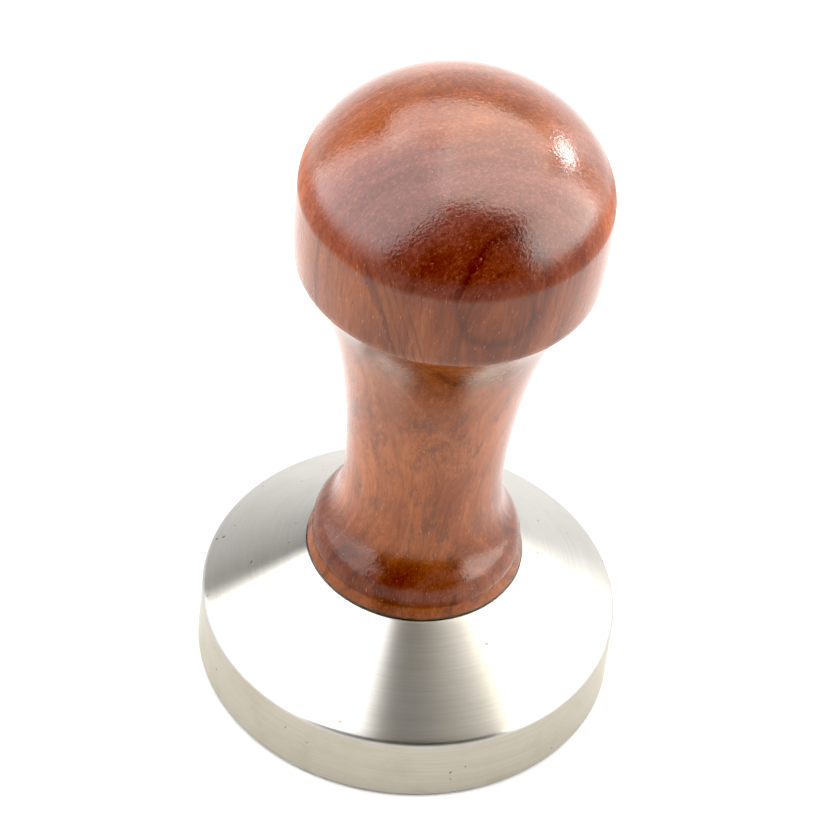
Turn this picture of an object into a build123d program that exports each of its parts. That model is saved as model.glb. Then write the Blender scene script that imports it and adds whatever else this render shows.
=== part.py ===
"""Espresso tamper: a heavy turned steel base, a turned wooden handle and the screw joint between them.

The handle's foot stands on a thin washer on the base. A headless set screw is fixed in a brass
insert in the handle, and its free half screws into a blind tapped hole in the base.
Millimetres, +Z up, origin at the centre of the flat tamping face.
"""
from build123d import *
from math import radians, tan
import os

# --- base ---
base_radius = 29.0          # for a 58 mm filter basket
rim_height = 10.4           # straight wall, up to the start of the cone
land_radius = 15.1          # flat seat under the handle
land_height = 20.25
bottom_edge_round = 0.6
shoulder_round = 1.0        # between the rim and the cone
land_edge_round = 0.15

# --- washer ---
washer_outer_radius = 14.85
washer_inner_radius = 4.15
face_gap = 0.02             # between flat faces of pieces that move apart
foot_height = 20.65         # underside of the handle's foot

# --- handle ---
# Points of its outline are (radius, height). Each curve runs from one such point to the next,
# and a pull point is where the curve's end heads for.
foot_radius = 15.1
foot_edge_round = 0.2
crease = (14.4, 22.2)       # edge between the foot's bevel and its bulge
crease_pull = (14.55, 23.2)
bulge_pull = (14.58, 24.9)
bulge_end = (13.3, 26.5)
cove_pull = (12.25, 27.81)
waist_low_pull = (10.9, 29.8)
waist = (10.9, 34.0)
waist_high_pull = (10.9, 54.0)
flare_pull = (15.4, 68.8)
flare_end = (19.9, 73.8)
knob_edge = (20.45, 74.45)
band_middle = (20.85, 80.0)  # the knob's side is slightly crowned
shoulder = (20.85, 86.2)    # where the dome springs from the side
shoulder_pull = (20.85, 91.0)
crown_pull = (13.6, 100.9)
top_height = 100.9

# --- M8 x 1.25 screw joint ---
pitch = 1.25
stud_length = 30.0
stud_bottom = 9.5
stud_crest_radius = 3.94
stud_root_radius = 3.30
stud_end_chamfer = 0.8
hex_across_flats = 4.0
hex_depth = 4.0
tap_drill_radius = 3.40
tap_crest_radius = 4.06     # a tap that leaves 0.12 mm round the stud's crests
crest_half_width = 0.078
tapped_bottom = 8.3
drilled_bottom = 7.0
mouth_countersink = 0.7
thread_overrun = 2          # turns cut beyond the end of a piece, before it is trimmed
stud_turns = 28
base_tap_turns = 13         # from below the stud's end to above the land
turns_below_insert = 7      # whole turns from the stud's end to the start of the insert's tap
insert_tap_turns = 20

# --- brass insert and its hole in the wood ---
insert_bottom = 21.05
insert_length = 20.0
insert_root_radius = 5.3
insert_crest_radius = 6.2
insert_pitch = 3.0
insert_crest_half_width = 0.2
insert_turns = 10
insert_end_radius = 5.0
insert_lead_in = 1.2
wood_bore_radius = 5.35
wood_bore_top = 43.0

flank_slope = tan(radians(30))
drill_slope = tan(radians(31))
cut_past = 0.1              # how far a groove's cutter stands out of the rod it cuts


def threaded_rod(root_radius, crest_radius, crest_half, thread_pitch, start, turns):
    """A rod with a right-hand thread for some turns above start, and plain ends to be trimmed off.

    Rods whose starts are a whole number of pitches apart have their threads in step. The rod is
    a pitch longer than the groove at each end.
    """
    gap_half = thread_pitch / 2 - crest_half
    gap_middle = start + thread_pitch / 2
    outer_half = gap_half + cut_past * flank_slope
    inner_half = gap_half - (crest_radius - root_radius) * flank_slope
    with BuildPart() as groove:
        with BuildLine():
            Helix(thread_pitch, thread_pitch * turns, root_radius, center=(0, 0, gap_middle))
        with BuildSketch(Plane.XZ):
            with BuildLine():
                Polyline(
                    (root_radius, gap_middle - inner_half),
                    (crest_radius + cut_past, gap_middle - outer_half),
                    (crest_radius + cut_past, gap_middle + outer_half),
                    (root_radius, gap_middle + inner_half),
                    close=True,
                )
            make_face()
        sweep(is_frenet=True)
    with BuildPart() as rod:
        with BuildSketch(Plane.XY.offset(start - thread_pitch)):
            Circle(crest_radius)
        extrude(amount=thread_pitch * (turns + 3))
        add(groove.part, mode=Mode.SUBTRACT)
    return rod.part


stud_top = stud_bottom + stud_length
stud_thread_start = stud_bottom - thread_overrun * pitch
insert_top = insert_bottom + insert_length
stud_rod = threaded_rod(
    stud_root_radius, stud_crest_radius, crest_half_width, pitch, stud_thread_start, stud_turns
)
base_tap = threaded_rod(
    tap_drill_radius, tap_crest_radius, crest_half_width, pitch, stud_thread_start, base_tap_turns
)
insert_tap = threaded_rod(
    tap_drill_radius,
    tap_crest_radius,
    crest_half_width,
    pitch,
    stud_bottom + turns_below_insert * pitch,
    insert_tap_turns,
)
insert_rod = threaded_rod(
    insert_root_radius,
    insert_crest_radius,
    insert_crest_half_width,
    insert_pitch,
    insert_bottom - thread_overrun * insert_pitch,
    insert_turns,
)

# The base's hole: a drilled tip, then the tap's thread up to and past the land.
with BuildPart() as tapped_hole:
    add(base_tap)
    with BuildSketch(Plane.XZ):
        with BuildLine():
            Polyline(
                (0, drilled_bottom - tap_drill_radius * drill_slope),
                (tap_drill_radius, drilled_bottom),
                (tap_drill_radius, tapped_bottom),
                (tap_crest_radius + cut_past, tapped_bottom + pitch),
                (tap_crest_radius + cut_past, land_height + pitch),
                (0, land_height + pitch),
                close=True,
            )
        make_face()
    revolve(axis=Axis.Z, mode=Mode.INTERSECT)

# Base: straight rim, steep cone and a small flat land, with a blind tapped hole.
with BuildPart() as base:
    with BuildSketch(Plane.XZ):
        with BuildLine():
            FilletPolyline(
                (0, 0),
                (base_radius, 0),
                (base_radius, rim_height),
                (land_radius, land_height),
                (0, land_height),
                radius=(bottom_edge_round, shoulder_round, land_edge_round),
            )
            Line((0, land_height), (0, 0))
        make_face()
    revolve(axis=Axis.Z)
    add(tapped_hole.part, mode=Mode.SUBTRACT)
    with BuildSketch(Plane.XZ):
        with BuildLine():
            Polyline(
                (0, land_height - tap_crest_radius - mouth_countersink / 2),
                (tap_crest_radius + mouth_countersink / 2, land_height),
                (0, land_height),
                close=True,
            )
        make_face()
    revolve(axis=Axis.Z, mode=Mode.SUBTRACT)
base.part.label = "base"

# Washer: the thin dark ring between the foot and the land.
with BuildPart() as foot_washer:
    with BuildSketch(Plane.XY.offset(land_height + face_gap)):
        Circle(washer_outer_radius)
        Circle(washer_inner_radius, mode=Mode.SUBTRACT)
    extrude(amount=foot_height - land_height - 2 * face_gap)
foot_washer.part.label = "foot_washer"

# Handle: one turned piece of wood, with a drilled hole up its foot for the insert.
with BuildPart() as handle:
    with BuildSketch(Plane.XZ):
        with BuildLine():
            FilletPolyline((0, foot_height), (foot_radius, foot_height), crease, radius=foot_edge_round)
            Bezier(crease, crease_pull, bulge_pull, bulge_end)
            Bezier(bulge_end, cove_pull, waist_low_pull, waist)
            flare = Bezier(waist, waist_high_pull, flare_pull, flare_end)
            TangentArc(flare_end, knob_edge, tangent=flare % 1)
            ThreePointArc(knob_edge, band_middle, shoulder)
            Bezier(shoulder, shoulder_pull, crown_pull, (0, top_height))
            Line((0, top_height), (0, foot_height))
        make_face()
    revolve(axis=Axis.Z)
    with BuildSketch(Plane.XZ):
        with BuildLine():
            Polyline(
                (0, foot_height - cut_past),
                (wood_bore_radius, foot_height - cut_past),
                (wood_bore_radius, wood_bore_top),
                (0, wood_bore_top + wood_bore_radius * drill_slope),
                close=True,
            )
        make_face()
    revolve(axis=Axis.Z, mode=Mode.SUBTRACT)
handle.part.label = "handle"

# Insert: a brass sleeve with a coarse wood thread outside and the M8 thread inside.
with BuildPart() as threaded_insert:
    add(insert_rod)
    with BuildSketch(Plane.XZ):
        with BuildLine():
            Polyline(
                (0, insert_bottom),
                (insert_end_radius, insert_bottom),
                (insert_crest_radius + cut_past, insert_bottom + insert_lead_in),
                (insert_crest_radius + cut_past, insert_top - insert_lead_in),
                (insert_end_radius, insert_top),
                (0, insert_top),
                close=True,
            )
        make_face()
    revolve(axis=Axis.Z, mode=Mode.INTERSECT)
    add(insert_tap, mode=Mode.SUBTRACT)
threaded_insert.part.label = "threaded_insert"

# Stud: a headless set screw with a hex socket in its lower end, for driving it into the insert.
with BuildPart() as stud:
    add(stud_rod)
    with BuildSketch(Plane.XZ):
        end_radius = stud_crest_radius - stud_end_chamfer
        with BuildLine():
            Polyline(
                (0, stud_bottom),
                (end_radius, stud_bottom),
                (stud_crest_radius + cut_past, stud_bottom + stud_end_chamfer + cut_past),
                (stud_crest_radius + cut_past, stud_top - stud_end_chamfer - cut_past),
                (end_radius, stud_top),
                (0, stud_top),
                close=True,
            )
        make_face()
    revolve(axis=Axis.Z, mode=Mode.INTERSECT)
    with BuildSketch(Plane.XY.offset(stud_bottom)):
        RegularPolygon(hex_across_flats / 2, 6, major_radius=False)
    extrude(amount=hex_depth, mode=Mode.SUBTRACT)
stud.part.label = "stud"

os.makedirs("parts", exist_ok=True)
for piece in (base, foot_washer, handle, threaded_insert, stud):
    export_step(piece.part, f"parts/{piece.part.label}.step")
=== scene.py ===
"""Looks of the espresso tamper: lathe-turned handle, base and washer meshes with procedural wood,
brushed steel, rubber, brass and zinc, in a plain soft studio.

Metres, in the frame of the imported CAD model: +Z up the turning axis, origin at the middle of the
tamping face. Outlines and material coordinates are in millimetres.
"""
import math

import bpy
from mathutils import Matrix, Vector


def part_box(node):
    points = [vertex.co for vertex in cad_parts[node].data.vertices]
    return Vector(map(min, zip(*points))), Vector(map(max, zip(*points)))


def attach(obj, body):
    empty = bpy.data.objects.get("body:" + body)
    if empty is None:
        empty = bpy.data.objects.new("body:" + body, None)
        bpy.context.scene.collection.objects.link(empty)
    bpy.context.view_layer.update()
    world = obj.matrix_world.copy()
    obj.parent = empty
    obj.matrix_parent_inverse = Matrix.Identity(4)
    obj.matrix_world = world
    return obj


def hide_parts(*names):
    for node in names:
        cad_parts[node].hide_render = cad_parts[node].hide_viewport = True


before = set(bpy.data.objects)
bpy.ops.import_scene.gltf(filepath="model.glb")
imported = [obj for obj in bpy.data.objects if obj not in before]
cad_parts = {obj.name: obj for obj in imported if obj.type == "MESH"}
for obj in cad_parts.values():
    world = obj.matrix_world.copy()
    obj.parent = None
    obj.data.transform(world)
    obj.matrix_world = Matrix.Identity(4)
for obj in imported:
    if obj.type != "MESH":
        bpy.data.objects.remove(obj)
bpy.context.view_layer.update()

MM = 0.001
SEGMENTS = 240              # of a turned mesh, round the axis


# ---------------------------------------------------------------- sizes, in millimetres

RIM_RADIUS = 29.0
RIM_HEIGHT = 10.4
LAND_RADIUS = 15.1          # flat seat on top of the base
LAND_FLAT_RADIUS = 14.9     # of it, inside its round edge
LAND_HEIGHT = 20.25
BOTTOM_ROUND = 0.6
SHOULDER_ROUND = 1.0        # between the rim and the cone
LAND_ROUND = 0.15

# The base's tapped hole.
TIP_HEIGHT = 4.96
DRILLED_BOTTOM = 7.0
TAPPED_BOTTOM = 8.3
TAPPED_TOP = 19.6
TAP_RADIUS = 3.4            # at the thread's crests
THREAD_DEPTH = 0.66
THREAD_START = 7.0          # height of a crest on the +X side
PITCH = 1.25
MOUTH = [(4.0, 19.95), (4.41, LAND_HEIGHT)]

WASHER_INNER_RADIUS = 4.15
WASHER_ROUND = 0.12

# The handle's outline runs between these points, as (radius, height).
FOOT_HEIGHT = 20.65
FOOT_RADIUS = 15.1
FOOT_FLAT_RADIUS = 14.8     # of its underside, inside its round edge
FOOT_ROUND = 0.2
CREASE = (14.4, 22.2)       # edge between the foot's bevel and its bulge
BULGE_END = (13.3, 26.5)
WAIST = (10.9, 34.0)
FLARE_END = (19.9, 73.8)
KNOB_EDGE = (20.45, 74.45)
SHOULDER = (20.85, 86.2)
TOP = (0, 100.9)
BORE_RADIUS = 5.35
BORE_TOP = 43.0
BORE_TIP = (0, 46.2)


# ---------------------------------------------------------------- meshes

def bezier(points, steps):
    """Points along a cubic Bezier curve in (radius, height), without its first one."""
    out = []
    for i in range(1, steps + 1):
        t = i / steps
        weights = ((1 - t) ** 3, 3 * t * (1 - t) ** 2, 3 * t * t * (1 - t), t ** 3)
        out.append(tuple(sum(w * p[k] for w, p in zip(weights, points)) for k in (0, 1)))
    return out


def straight(start, end, steps):
    """Points along a straight run, without its first one."""
    return [
        tuple(start[k] + (end[k] - start[k]) * i / steps for k in (0, 1))
        for i in range(1, steps + 1)
    ]


def rounded(before, corner, after, radius, steps=6):
    """Points of an arc of that radius which rounds the corner between two straight runs."""
    a = (Vector(before) - Vector(corner)).normalized()
    b = (Vector(after) - Vector(corner)).normalized()
    half = math.acos(max(-1.0, min(1.0, a.dot(b)))) / 2
    middle = Vector(corner) + (a + b).normalized() * radius / math.sin(half)
    first = Vector(corner) + a * radius / math.tan(half) - middle
    last = Vector(corner) + b * radius / math.tan(half) - middle
    sweep = math.atan2(first.x * last.y - first.y * last.x, first.dot(last))
    return [
        tuple(middle + Matrix.Rotation(sweep * i / steps, 2) @ first) for i in range(steps + 1)
    ]


def lathe(name, outline, material, closed=False, sharp=35.0, shape=None):
    """A turned piece: the outline in millimetres, as (radius, height) points, round the Z axis.

    An outline that starts or ends on the axis closes there in a fan. shape may change the radius
    of each point: it is given (radius, height, angle). Edges of over sharp degrees aren't smoothed.
    """
    mesh = bpy.data.meshes.new(name)
    verts, rings = [], []
    for r, z in outline:
        if r < 1e-6:
            rings.append([len(verts)])
            verts.append((0.0, 0.0, z * MM))
            continue
        ring = []
        for s in range(SEGMENTS):
            angle = 2 * math.pi * s / SEGMENTS
            radius = shape(r, z, angle) if shape else r
            ring.append(len(verts))
            verts.append((radius * math.cos(angle) * MM, radius * math.sin(angle) * MM, z * MM))
        rings.append(ring)
    faces = []
    pairs = list(zip(rings, rings[1:])) + ([(rings[-1], rings[0])] if closed else [])
    for lower, upper in pairs:
        for s in range(SEGMENTS):
            t = (s + 1) % SEGMENTS
            if len(lower) == 1:
                faces.append((lower[0], upper[t], upper[s]))
            elif len(upper) == 1:
                faces.append((lower[s], lower[t], upper[0]))
            else:
                faces.append((lower[s], lower[t], upper[t], upper[s]))
    mesh.from_pydata(verts, [], faces)
    mesh.validate()
    mesh.polygons.foreach_set("use_smooth", [True] * len(mesh.polygons))
    mesh.set_sharp_from_angle(angle=math.radians(sharp))
    mesh.materials.append(material)
    obj = bpy.data.objects.new(name, mesh)
    bpy.context.scene.collection.objects.link(obj)
    return obj


# ---------------------------------------------------------------- node helpers

def rgb(r, g, b):
    return (r, g, b, 1.0)


class Nodes:
    """Short-hand for building a material's node tree. Values are outputs or plain numbers."""

    def __init__(self, name):
        self.material = bpy.data.materials.new(name)
        self.material.use_nodes = True
        self.tree = self.material.node_tree
        self.tree.nodes.clear()
        self.out = self.add("ShaderNodeOutputMaterial")
        self.shader = self.add("ShaderNodeBsdfPrincipled")
        self.link(self.shader.outputs["BSDF"], self.out.inputs["Surface"])

    def add(self, kind, **settings):
        node = self.tree.nodes.new(kind)
        for key, value in settings.items():
            setattr(node, key, value)
        return node

    def link(self, source, target):
        self.tree.links.new(source, target)

    def feed(self, target, value):
        """Link an output to an input, or set the input to a plain value."""
        if isinstance(value, bpy.types.NodeSocket):
            self.link(value, target)
        else:
            target.default_value = value

    def set(self, **values):
        """Feed the shader's inputs. An underscore in a name stands for a space."""
        for key, value in values.items():
            self.feed(self.shader.inputs[key.replace("_", " ")], value)

    def math(self, operation, a, b=0.0, c=0.0):
        node = self.add("ShaderNodeMath", operation=operation)
        for socket, value in zip(node.inputs, (a, b, c)):
            self.feed(socket, value)
        return node.outputs[0]

    def times(self, first, *others):
        """The product of two or more values."""
        product = first
        for value in others:
            product = self.math("MULTIPLY", product, value)
        return product

    def length(self, a, b):
        """The length of the vector (a, b)."""
        return self.math("SQRT", self.math("ADD", self.times(a, a), self.times(b, b)))

    def vector(self, x, y, z):
        node = self.add("ShaderNodeCombineXYZ")
        for socket, value in zip(node.inputs, (x, y, z)):
            self.feed(socket, value)
        return node.outputs[0]

    def position(self):
        """x, y, z of the point in object coordinates, in millimetres."""
        coords = self.add("ShaderNodeTexCoord")
        scale = self.add("ShaderNodeVectorMath", operation="SCALE")
        self.link(coords.outputs["Object"], scale.inputs[0])
        scale.inputs["Scale"].default_value = 1 / MM
        split = self.add("ShaderNodeSeparateXYZ")
        self.link(scale.outputs[0], split.inputs[0])
        return split.outputs[0], split.outputs[1], split.outputs[2]

    def noise(self, vector, scale=1.0, detail=2.0, rough=0.5, w=None):
        """Noise in 0..1. Each w, a fourth coordinate, gives another noise."""
        node = self.add("ShaderNodeTexNoise", noise_dimensions="3D" if w is None else "4D")
        self.link(vector, node.inputs["Vector"])
        node.inputs["Scale"].default_value = scale
        node.inputs["Detail"].default_value = detail
        node.inputs["Roughness"].default_value = rough
        if w is not None:
            self.feed(node.inputs["W"], w)
        return node.outputs["Fac"]

    def span(self, value, low, high, to_low=0.0, to_high=1.0):
        """Map low..high smoothly to to_low..to_high, with flat ends. low may be above high."""
        node = self.add("ShaderNodeMapRange", interpolation_type="SMOOTHSTEP")
        self.feed(node.inputs["Value"], value)
        node.inputs["From Min"].default_value = low
        node.inputs["From Max"].default_value = high
        node.inputs["To Min"].default_value = to_low
        node.inputs["To Max"].default_value = to_high
        return node.outputs["Result"]

    def band(self, value, start, full, fall, end):
        """0 up to start, 1 from full to fall, and 0 again from end on."""
        return self.times(self.span(value, start, full), self.span(value, end, fall))

    def mix(self, factor, a, b, blend="MIX"):
        node = self.add("ShaderNodeMix", data_type="RGBA", blend_type=blend)
        self.feed(node.inputs["Factor"], factor)
        self.feed(node.inputs["A"], a)
        self.feed(node.inputs["B"], b)
        return node.outputs["Result"]

    def bump(self, height, strength, distance):
        node = self.add("ShaderNodeBump")
        node.inputs["Strength"].default_value = strength
        node.inputs["Distance"].default_value = distance
        self.link(height, node.inputs["Height"])
        return node.outputs["Normal"]


# ---------------------------------------------------------------- wood

class Wood(Nodes):
    """Lacquered reddish hardwood, solid through the piece, with the grain along Z.

    Most methods add a layer to the colour. The handle's front is at -Y.
    """

    def __init__(self):
        super().__init__("wood")
        self.x, self.y, self.z = self.position()
        # The grain wanders: the figure is drawn in these bent coordinates.
        slow = self.vector(self.x, self.y, self.times(self.z, 0.35))
        bend_x = self.math("SUBTRACT", self.noise(slow, 0.055), 0.5)
        bend_y = self.math("SUBTRACT", self.noise(slow, 0.06, w=7.0), 0.5)
        self.gx = self.math("MULTIPLY_ADD", bend_x, 9.0, self.x)
        self.gy = self.math("MULTIPLY_ADD", bend_y, 12.0, self.y)
        # Weights of some places.
        self.front = self.span(self.y, -8.0, -13.0)
        self.dome = self.span(self.z, 84.0, 91.0)
        self.shoulder = self.band(self.z, 85.6, 86.8, 89.0, 91.5)
        # Streaks a fraction of a millimetre wide and centimetres long, finer ones, and pores.
        self.fibre = self.grain_noise(1.6, 0.07, detail=5.0, rough=0.65)
        self.fine = self.grain_noise(5.5, 0.35, detail=3.0, rough=0.6)
        self.pores = self.span(self.grain_noise(5.5, 0.55, detail=1.0, w=3.0), 0.66, 0.76)
        self.colour = self.heartwood()
        self.growth_layers()
        self.fibres()
        self.streaks()
        self.knot()
        self.smudges()
        self.end_grain()
        self.painted_light_and_shade()
        self.painted_glints()
        self.surface()

    def grain_noise(self, across, along, detail, rough=0.5, scale=1.0, w=None):
        """Noise with its own frequency across and along the grain."""
        point = self.vector(
            self.times(self.gx, across), self.times(self.gy, across), self.times(self.z, along)
        )
        return self.noise(point, scale, detail, rough, w)

    def paint(self, weight, r, g, b):
        self.colour = self.mix(weight, self.colour, rgb(r, g, b))

    def tint(self, weight, r, g, b):
        """Multiply the colour by the three factors, as far as the weight says."""
        tinted = self.mix(1.0, self.colour, rgb(r, g, b), "MULTIPLY")
        self.colour = self.mix(weight, self.colour, tinted)

    def heartwood(self):
        """Broad patches of lighter and darker wood."""
        patch = self.grain_noise(1.0, 0.4, detail=3.0, rough=0.55, scale=0.11)
        return self.mix(
            self.span(patch, 0.30, 0.72), rgb(0.190, 0.050, 0.015), rgb(0.310, 0.096, 0.031)
        )

    def growth_layers(self):
        """Layers cut nearly flat at the front, unevenly spaced and fainter on the dome."""
        across = self.math("MULTIPLY_ADD", self.gx, -0.40, self.gy)
        point = self.vector(self.times(across, 0.42), 0.0, self.times(self.z, 0.006))
        layer = self.noise(point, 1.0, 4.0, 0.62)
        self.paint(self.times(self.span(layer, 0.50, 0.34), 0.45), 0.375, 0.135, 0.055)
        dark = self.times(self.span(layer, 0.52, 0.70), self.span(self.z, 84.0, 91.0, 0.62, 0.25))
        self.paint(dark, 0.080, 0.022, 0.011)

    def fibres(self):
        self.paint(self.span(self.fibre, 0.48, 0.72, 0.0, 0.36), 0.085, 0.023, 0.010)
        self.paint(self.span(self.fibre, 0.46, 0.30, 0.0, 0.22), 0.400, 0.150, 0.062)
        self.paint(self.span(self.fine, 0.40, 0.66, 0.0, 0.30), 0.095, 0.024, 0.009)
        self.paint(self.times(self.pores, 0.55), 0.055, 0.016, 0.009)

    def streaks(self):
        """Dark streaks that lean across the front of the knob's side."""
        height = self.math("SUBTRACT", self.z, 80.0)
        lean = self.math("ADD", self.math("MULTIPLY_ADD", height, 0.31, self.gx), 6.0)
        point = self.vector(self.times(lean, 0.9), 0.0, self.times(self.z, 0.05))
        lines = self.span(self.noise(point, 1.0, 3.0, 0.6), 0.47, 0.60)
        near = self.span(self.math("ABSOLUTE", lean), 4.5, 2.0)
        middle = self.span(self.math("ABSOLUTE", height), 10.0, 5.0)
        self.paint(self.times(lines, near, middle, self.front, 0.6), 0.075, 0.024, 0.014)

    def knot(self):
        """A warmer oval with a dark outline beside the streaks, across the knob's shoulder."""
        across = self.times(self.math("SUBTRACT", self.x, 7.3), 0.87)
        up = self.times(self.math("SUBTRACT", self.z, 86.0), 0.62)
        from_middle = self.math("SUBTRACT", self.length(across, up), 1.25)
        ragged = self.math("MULTIPLY_ADD", self.fibre, 2.5, from_middle)
        from_outline = self.math("ABSOLUTE", self.math("SUBTRACT", ragged, 4.8))
        self.paint(self.times(self.span(ragged, 4.6, 2.0), self.front, 0.15), 0.36, 0.105, 0.030)
        outline = self.span(from_outline, 0.8, 0.1)
        self.paint(self.times(outline, self.front, 0.50), 0.075, 0.022, 0.012)

    def smudges(self):
        """Small dark smudges down the neck and the foot."""
        spot = self.span(self.grain_noise(0.45, 0.17, detail=5.0, rough=0.72), 0.48, 0.66)
        self.paint(self.times(spot, self.span(self.z, 74.0, 70.0), 0.62), 0.085, 0.030, 0.017)

    def end_grain(self):
        """End grain drinks the lacquer, so the dome is deeper in colour, and mottled."""
        self.tint(self.dome, 0.88, 0.75, 0.74)
        across = self.math("MULTIPLY_ADD", self.y, 0.8, self.times(self.x, 1.5))
        along = self.math("MULTIPLY_ADD", self.x, -1.1, self.times(self.y, 2.4))
        mottle = self.noise(self.vector(across, along, self.z), 1.0, 3.0, 0.65)
        light = self.times(self.span(mottle, 0.50, 0.70, 0.0, 0.24), self.dome)
        dark = self.times(self.span(mottle, 0.50, 0.34, 0.0, 0.30), self.dome)
        self.paint(light, 0.46, 0.19, 0.075)
        self.paint(dark, 0.09, 0.026, 0.014)

    def painted_light_and_shade(self):
        """Painted shade and painted light: zones of the handle painted deeper or paler in colour
        than the rest, where shade or light falls on it.
        """
        side = self.math("ABSOLUTE", self.x)
        dome_front = self.times(self.span(self.z, 84.0, 88.0), self.span(self.y, -2.0, -10.0))
        under_knob = self.band(self.z, 60.0, 70.0, 72.0, 74.0)
        knob_front = self.times(self.span(self.z, 73.0, 76.0), self.span(self.y, -5.0, -15.0))
        neck = self.band(self.z, 29.0, 34.0, 62.0, 72.0)
        foot = self.times(
            self.span(self.z, 31.0, 26.5), self.span(self.z, 21.9, 22.6, 0.55, 1.0),
            self.span(self.x, 4.0, 10.0, 1.0, 0.55),
        )
        bulge = self.band(self.z, 22.2, 23.0, 27.0, 29.0)
        # Painted shade: the front of the dome deeper and greyer.
        self.tint(dome_front, 0.75, 0.79, 1.5)
        # Painted shade under the knob's overhang, at the top of the neck.
        self.tint(under_knob, 0.72, 0.74, 0.85)
        # Painted shade on the front of the knob's side.
        self.tint(knob_front, 0.74, 0.68, 0.66)
        # Painted light: the neck's sides lighter.
        self.tint(self.times(neck, self.span(side, 3.0, 10.0)), 1.18, 1.14, 1.0)
        # Painted shade low on the foot, deepest on its left, less on the bevel and the right.
        self.tint(foot, 0.50, 0.49, 0.66)
        # Painted light: the sides of the knob's shoulder lighter and warmer.
        self.tint(self.times(self.shoulder, self.span(side, 5.0, 14.0)), 1.32, 1.18, 0.90)
        # Painted sheen: a paler, bluer band round the bulge of the foot.
        self.tint(bulge, 1.0, 1.0, 1.18)

    def painted_glints(self):
        """Painted glints: bright points in the fibres."""
        dust_and_glints = self.grain_noise(5.5, 0.9, detail=0.0, scale=1.3, w=11.0)
        self.paint(self.times(self.span(dust_and_glints, 0.74, 0.82), 0.3), 0.62, 0.27, 0.11)

    def surface(self):
        """Wood under a lacquer that is thinner where it was rubbed: on the shoulder and the foot."""
        rubbed_foot = self.times(
            self.span(self.z, 29.0, 27.0), self.span(self.x, 3.0, 10.0, 0.42, 0.1)
        )
        lacquer = self.math("MULTIPLY_ADD", self.shoulder, -0.58, 1.0)
        lacquer = self.math("SUBTRACT", lacquer, rubbed_foot)
        grain_height = self.math("MULTIPLY_ADD", self.fibre, 0.5, self.times(self.pores, -0.5))
        peel = self.noise(self.vector(self.x, self.y, self.z), 2.2, 2.0, 0.55)
        self.set(
            Base_Color=self.colour,
            Roughness=self.span(self.fine, 0.3, 0.7, 0.42, 0.58),
            Specular_IOR_Level=0.0,
            Normal=self.bump(grain_height, 0.25, 0.00006),
            Coat_Weight=lacquer,
            Coat_Roughness=0.20,
            Coat_IOR=1.45,
            Coat_Normal=self.bump(peel, 0.9, 0.00005),
        )


# ---------------------------------------------------------------- metals and rubber

def turned_metal(name, tint, roughness, anisotropy, brush, stain=0.22):
    """Metal brushed on a lathe: fine grooves round the Z axis, faint smears and tiny specks.

    brush is the strength of the grooves' bump, and stain that of the smears' colour.
    """
    n = Nodes(name)
    x, y, z = n.position()
    radius = n.length(x, y)
    cos_a = n.math("DIVIDE", x, radius)
    sin_a = n.math("DIVIDE", y, radius)

    def grooves(per_mm, along, detail, rough, seed):
        vector = n.vector(
            n.times(radius, per_mm), n.times(z, per_mm),
            n.math("MULTIPLY_ADD", cos_a, along, seed),
        )
        return n.noise(vector, 1.0, detail, rough, w=n.times(sin_a, along))

    coarse = grooves(3.5, 1.3, 3.0, 0.7, 0.0)
    fine = grooves(12.0, 3.0, 2.0, 0.6, 5.0)
    scratch = grooves(14.0, 9.0, 1.0, 0.5, 9.0)
    lines = n.math("ADD", n.times(coarse, 0.45), n.times(fine, 0.55))
    point = n.vector(x, y, z)
    smear = n.noise(point, 0.16, 4.0, 0.6)
    speck = n.span(n.noise(point, 1.1, 0.0, 0.5), 0.835, 0.87)

    in_groove = rgb(*(0.88 * channel for channel in tint))
    colour = n.mix(n.span(lines, 0.35, 0.65), in_groove, rgb(*tint))
    colour = n.mix(n.span(smear, 0.45, 0.70, 0.0, stain), colour, rgb(0.34, 0.31, 0.23))
    colour = n.mix(n.times(speck, 0.7), colour, rgb(0.10, 0.09, 0.08))
    rough = n.span(fine, 0.3, 0.7, roughness - 0.012, roughness + 0.012)
    height = n.math("ADD", fine, n.times(n.span(scratch, 0.66, 0.80), -0.12))
    n.set(
        Base_Color=colour,
        Metallic=1.0,
        Roughness=n.math("ADD", rough, n.span(smear, 0.4, 0.8, 0.0, 0.015)),
        Anisotropic=anisotropy,
        Anisotropic_Rotation=0.25,
        Tangent=n.add("ShaderNodeTangent", direction_type="RADIAL", axis="Z").outputs[0],
        Normal=n.bump(height, brush, 0.00001),
    )
    return n.material


def rubber_material():
    """Matte dark rubber with a faint grain and dust."""
    n = Nodes("washer_rubber")
    point = n.vector(*n.position())
    grain = n.noise(point, 6.0, 3.0, 0.6)
    dust_and_glints = n.noise(point, 0.5, 3.0, 0.6)
    n.set(
        Base_Color=n.mix(
            n.span(dust_and_glints, 0.4, 0.8), rgb(0.040, 0.034, 0.020), rgb(0.110, 0.096, 0.060)
        ),
        Roughness=n.span(grain, 0.3, 0.7, 0.62, 0.85),
        Normal=n.bump(grain, 0.4, 0.00004),
    )
    return n.material


steel = turned_metal("steel_cone", (0.43, 0.415, 0.39), 0.30, 0.82, 0.04)
# The rim's own copy of the steel: rougher, less brushed and more smeared, with its colour painted
# darker and beiger as painted shade of its dimmer reflection.
rim_steel = turned_metal("steel_rim", (0.42, 0.39, 0.325), 0.33, 0.55, 0.06, stain=0.55)
wood = Wood().material
rubber = rubber_material()
brass = turned_metal("brass", (0.78, 0.52, 0.22), 0.30, 0.3, 0.2)
zinc = turned_metal("zinc", (0.58, 0.59, 0.61), 0.34, 0.2, 0.2)


# ---------------------------------------------------------------- handle

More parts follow.
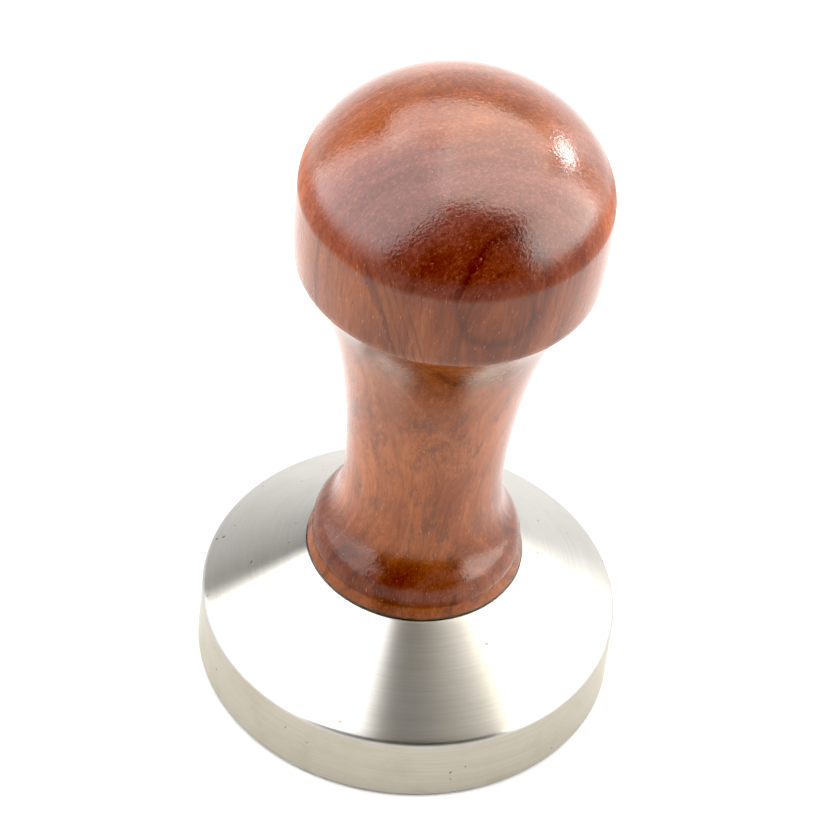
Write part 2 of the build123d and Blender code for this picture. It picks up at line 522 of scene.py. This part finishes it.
def handle_outline():
    """From the end of the drilled hole, down the hole and up the outside to the top."""
    bore_mouth = (BORE_RADIUS, FOOT_HEIGHT)
    outline = [BORE_TIP, (BORE_RADIUS, BORE_TOP)]
    outline += straight((BORE_RADIUS, BORE_TOP), bore_mouth, 4)
    outline += straight(bore_mouth, (FOOT_FLAT_RADIUS, FOOT_HEIGHT), 6)
    outline += rounded((0, FOOT_HEIGHT), (FOOT_RADIUS, FOOT_HEIGHT), CREASE, FOOT_ROUND)
    outline += [CREASE]
    outline += bezier([CREASE, (14.55, 23.2), (14.58, 24.9), BULGE_END], 18)
    outline += bezier([BULGE_END, (12.25, 27.81), (10.9, 29.8), WAIST], 18)
    outline += bezier([WAIST, (10.9, 54.0), (15.4, 68.8), FLARE_END], 44)
    outline += bezier([FLARE_END, (20.15, 74.03), (20.35, 74.2), KNOB_EDGE], 4)
    outline += bezier([KNOB_EDGE, (20.88, 78.3), (20.9, 82.4), SHOULDER], 14)
    outline += bezier([SHOULDER, (20.85, 91.0), (13.6, 100.9), TOP], 60)
    return outline


handle = lathe("handle_wood", handle_outline(), wood, sharp=28.0)
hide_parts("handle")
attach(handle, "handle")


# ---------------------------------------------------------------- base

def base_outline():
    """From the end of the drilled hole, up the hole, over the land and down to the middle below."""
    tap_start = (TAP_RADIUS, TAPPED_BOTTOM)
    land_edge = (LAND_RADIUS, LAND_HEIGHT)
    rim_edge = (RIM_RADIUS, RIM_HEIGHT)
    bottom_edge = (RIM_RADIUS, 0)
    land_round = rounded((0, LAND_HEIGHT), land_edge, rim_edge, LAND_ROUND)
    cone_round = rounded(land_edge, rim_edge, bottom_edge, SHOULDER_ROUND)
    bottom_round = rounded(rim_edge, bottom_edge, (0, 0), BOTTOM_ROUND)
    outline = [(0, TIP_HEIGHT), (TAP_RADIUS, DRILLED_BOTTOM)]
    outline += straight(outline[-1], tap_start, 3)
    outline += straight(tap_start, (TAP_RADIUS, TAPPED_TOP), 150)
    outline += MOUTH
    outline += straight(MOUTH[-1], (LAND_FLAT_RADIUS, LAND_HEIGHT), 12)
    outline += land_round
    outline += straight(land_round[-1], cone_round[0], 20)[:-1]
    outline += cone_round
    outline += straight(cone_round[-1], bottom_round[0], 10)[:-1]
    outline += bottom_round
    outline += straight(bottom_round[-1], (1.2, 0), 24)
    outline += [(0, 0)]
    return outline


def tapped(r, z, angle):
    """Cut the M8 thread into the straight part of the hole, fading in over its first turn."""
    if r != TAP_RADIUS or z <= TAPPED_BOTTOM:
        return r
    phase = ((z - THREAD_START) / PITCH - angle / (2 * math.pi)) % 1.0
    fade = min(1.0, (z - TAPPED_BOTTOM) / PITCH)
    return r + THREAD_DEPTH * (1 - abs(2 * phase - 1)) * fade


base = lathe("base_steel", base_outline(), steel, sharp=28.0, shape=tapped)
base.data.materials.append(rim_steel)
RIM_TOP = RIM_HEIGHT - 0.45     # where the round between the rim and the cone starts
for polygon in base.data.polygons:
    if polygon.center.z < RIM_TOP * MM and abs(polygon.normal.z) < 0.7:
        polygon.material_index = 1
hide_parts("base")
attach(base, "base")


# ---------------------------------------------------------------- washer, insert and stud

low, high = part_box("foot_washer")
bottom, top, outer = low.z / MM, high.z / MM, high.x / MM
washer_corners = [
    (WASHER_INNER_RADIUS, bottom), (outer, bottom), (outer, top), (WASHER_INNER_RADIUS, top)
]
washer_outline = []
for i, corner in enumerate(washer_corners):
    after = washer_corners[(i + 1) % 4]
    washer_outline += rounded(washer_corners[i - 1], corner, after, WASHER_ROUND, 4)
washer = lathe("washer_ring", washer_outline, rubber, closed=True, sharp=60.0)
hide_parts("foot_washer")
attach(washer, "washer")

for name, material in (("threaded_insert", brass), ("stud", zinc)):
    for material_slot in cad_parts[name].material_slots:
        material_slot.material = material


# ---------------------------------------------------------------- floor

FLOOR_HALF = 6.0
FLOOR_HEIGHT = -0.0002      # a hair below the tamping face


def floor_material():
    n = Nodes("floor")
    coords = n.add("ShaderNodeTexCoord")
    tone = n.noise(coords.outputs["Object"], 18.0, 2.0)
    n.set(
        Base_Color=n.mix(tone, rgb(0.84, 0.84, 0.84), rgb(0.86, 0.86, 0.86)),
        Roughness=0.9,
        Specular_IOR_Level=0.1,
    )
    return n.material


floor_corners = [
    (x * FLOOR_HALF, y * FLOOR_HALF, FLOOR_HEIGHT) for x, y in ((-1, -1), (1, -1), (1, 1), (-1, 1))
]
floor_mesh = bpy.data.meshes.new("floor")
floor_mesh.from_pydata(floor_corners, [], [(0, 1, 2, 3)])
floor_mesh.materials.append(floor_material())
floor = bpy.data.objects.new("floor", floor_mesh)
bpy.context.scene.collection.objects.link(floor)


# ---------------------------------------------------------------- lights

ROOM_LIGHT = 0.38
WHITE = (1.0, 1.0, 1.0)
WARM = (1.0, 0.97, 0.90)
WARMER = (1.0, 0.96, 0.88)


def softbox(name, position, target, size, radiance, lights, tint=WHITE):
    """A rectangular light of that width and height, which faces the target.

    lights is gloss (only seen in reflections) or matte (only lights surfaces).
    """
    light = bpy.data.lights.new(name, "AREA")
    light.shape = "RECTANGLE"
    light.size, light.size_y = size
    light.energy = radiance * math.pi * size[0] * size[1]
    light.color = tint
    obj = bpy.data.objects.new(name, light)
    obj.location = position
    obj.rotation_mode = "QUATERNION"
    obj.rotation_quaternion = (Vector(target) - Vector(position)).to_track_quat("-Z", "Y")
    obj.visible_camera = False
    obj.visible_diffuse = lights == "matte"
    obj.visible_glossy = lights == "gloss"
    bpy.context.scene.collection.objects.link(obj)


# What the gloss mirrors: a light tent, open at the front, with dimmer panels at the back. The
# dome mirrors the two roof panels, the left wall is a low panel with a leaning one above it, and
# a small bright lamp makes the spot on the dome.
for name, position, target, size, radiance, tint in (
    ("roof_gloss", (0.0425, 0.026, 0.17), (0.0425, 0.026, 0), (0.115, 0.142), 7.3, WARM),
    ("roof_back_gloss", (-0.045, 0.062, 0.17), (-0.045, 0.062, 0), (0.06, 0.07), 5.8, WHITE),
    ("left_gloss", (-0.48, -0.13, 0.145), (0, -0.13, 0.145), (0.80, 0.23), 5.6, WHITE),
    ("left_eave_gloss", (-0.301, -0.14, 0.62), (0.594, -0.14, 0.1745), (0.82, 0.804), 5.6, WHITE),
    ("right_gloss", (0.45, -0.03, 0.245), (0, -0.03, 0.245), (0.53, 0.41), 7.6, WARMER),
    ("right_back_gloss", (0.50, 0.38, 0.22), (0, 0, 0.22), (0.44, 0.36), 1.5, WHITE),
    ("back_gloss", (0.3, 0.9, 0.28), (0.3, 0, 0.28), (1.2, 0.55), 1.7, WHITE),
    ("left_back_gloss", (-0.8, 0.9, 0.28), (-0.8, 0, 0.28), (1.0, 0.55), 1.05, WHITE),
    ("lamp", (0.70, 0.63, 0.43), (0, 0, 0.09), (0.19, 0.11), 50.0, WHITE),
):
    softbox(name, position, target, size, radiance, "gloss", tint)

# What lights the surfaces: a larger tent farther out, and the room's own light.
for name, position, target, size, radiance in (
    ("roof_matte", (0, 0.3, 1.1), (0, 0.3, 0), (2.0, 2.0), 2.0),
    ("left_matte", (-1.1, 0, 0.5), (0, 0, 0.5), (1.6, 1.0), 4.0),
    ("right_matte", (1.1, 0, 0.5), (0, 0, 0.5), (1.6, 1.0), 4.0),
    ("back_matte", (0, 1.3, 0.5), (0, 0, 0.5), (1.8, 1.0), 1.6),
):
    softbox(name, position, target, size, radiance, "matte")

world = bpy.data.worlds.new("studio")
bpy.context.scene.world = world
world.use_nodes = True
background = world.node_tree.nodes["Background"]
background.inputs["Color"].default_value = rgb(*WHITE)
background.inputs["Strength"].default_value = ROOM_LIGHT
world.cycles_visibility.glossy = False


# ---------------------------------------------------------------- camera and view

# The view of the photograph: from the front, looking along +Y and down, and rolled.
ELEVATION = math.radians(44.45)
ROLL = math.radians(6.70)
AIM = Vector((0, 0, 0.04))
DISTANCE = 0.6815
SHIFT_RIGHT = 0.00247
SHIFT_UP = -0.00459
LENS_PIXELS = 5000.0        # focal length, in pixels of a frame of this width
FRAME_PIXELS = 817
SENSOR_WIDTH = 36.0
BLACK_LEVEL = 0.03

ahead = Vector((0, math.cos(ELEVATION), -math.sin(ELEVATION)))
right = Vector((1, 0, 0))
up = right.cross(ahead)
tilted_right = right * math.cos(ROLL) + up * math.sin(ROLL)
tilted_up = up * math.cos(ROLL) - right * math.sin(ROLL)
camera = bpy.data.cameras.new("camera")
camera.sensor_width = SENSOR_WIDTH
camera.lens = LENS_PIXELS / FRAME_PIXELS * SENSOR_WIDTH
camera.clip_start, camera.clip_end = 0.01, 50.0
camera_object = bpy.data.objects.new("camera", camera)
camera_object.matrix_world = Matrix.Translation(
    AIM - ahead * DISTANCE - tilted_right * SHIFT_RIGHT - tilted_up * SHIFT_UP
) @ Matrix((tilted_right, tilted_up, -ahead)).transposed().to_4x4()
bpy.context.scene.collection.objects.link(camera_object)
bpy.context.scene.camera = camera_object

view_settings = bpy.context.scene.view_settings
view_settings.view_transform = "Standard"
view_settings.use_curve_mapping = True
view_settings.curve_mapping.black_level = (BLACK_LEVEL,) * 3
